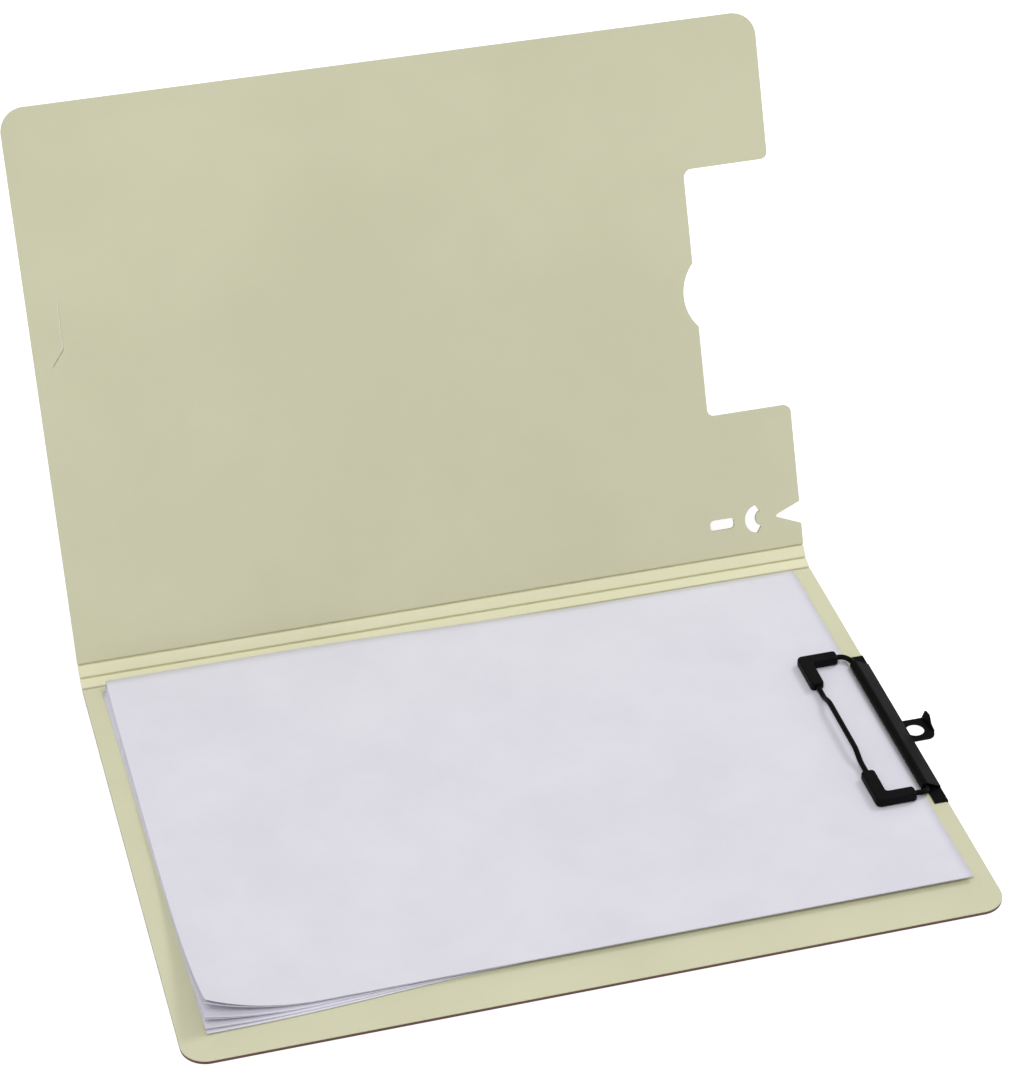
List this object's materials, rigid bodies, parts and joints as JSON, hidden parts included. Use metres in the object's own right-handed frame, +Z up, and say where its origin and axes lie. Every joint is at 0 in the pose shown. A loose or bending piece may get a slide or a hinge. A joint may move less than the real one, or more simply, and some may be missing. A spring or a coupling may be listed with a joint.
{
  "type": "clip file folder",
  "caption": "A4 foamed plastic file folder lying open, with a creased spine, a die-cut cover and a black wire clip that holds loose sheets.",
  "frame": {"origin": "middle of the base panel's underside, between the front edge and the lower crease", "axes": "+X along the spine towards the clip, +Y from the front edge to the spine, +Z up"},
  "size_m": [0.3262, 0.3268, 0.2192],
  "materials": {
    "board": "satin, fine cast grain",
    "black_steel": "semi-gloss black lacquer",
    "black_cap": "soft matt black",
    "sheet": "plain white office paper"
  },
  "bodies": {
    "base": {"base_panel": "board", "clip_bar": "black_steel", "sheet_lot_1": "sheet", "sheet_lot_2": "sheet", "sheet_lot_3": "sheet", "sheet_lot_4": "sheet"},
    "strip_lower": {"spine_strip_lower": "board"},
    "strip_upper": {"spine_strip_upper": "board"},
    "cover": {"cover_panel": "board"},
    "bail": {"bail_wire": "black_steel", "cap_spine_side": "black_cap", "cap_front_side": "black_cap"}
  },
  "joints": [
    {"name": "lower_crease", "type": "hinge", "parent": "base", "child": "strip_lower", "pos_m": [0, 0.1145, 0.0009], "axis": [1, 0, 0], "range_deg": [-22.5, 37.5]},
    {"name": "middle_crease", "type": "hinge", "parent": "strip_lower", "child": "strip_upper", "pos_m": [0, 0.11958, 0.003], "axis": [1, 0, 0], "range_deg": [-22.5, 37.5]},
    {"name": "upper_crease", "type": "hinge", "parent": "strip_upper", "child": "cover", "pos_m": [0, 0.12382, 0.00725], "axis": [1, 0, 0], "range_deg": [-22.5, 37.5]},
    {"name": "bail_hinge", "type": "hinge", "parent": "base", "child": "bail", "pos_m": [0.1512, 0.0006, 0.0038], "axis": [0, 1, 0], "range_deg": [0, 80], "stiffness_Nm_per_rad": 0.06, "springref_deg": -80.21}
  ]
}
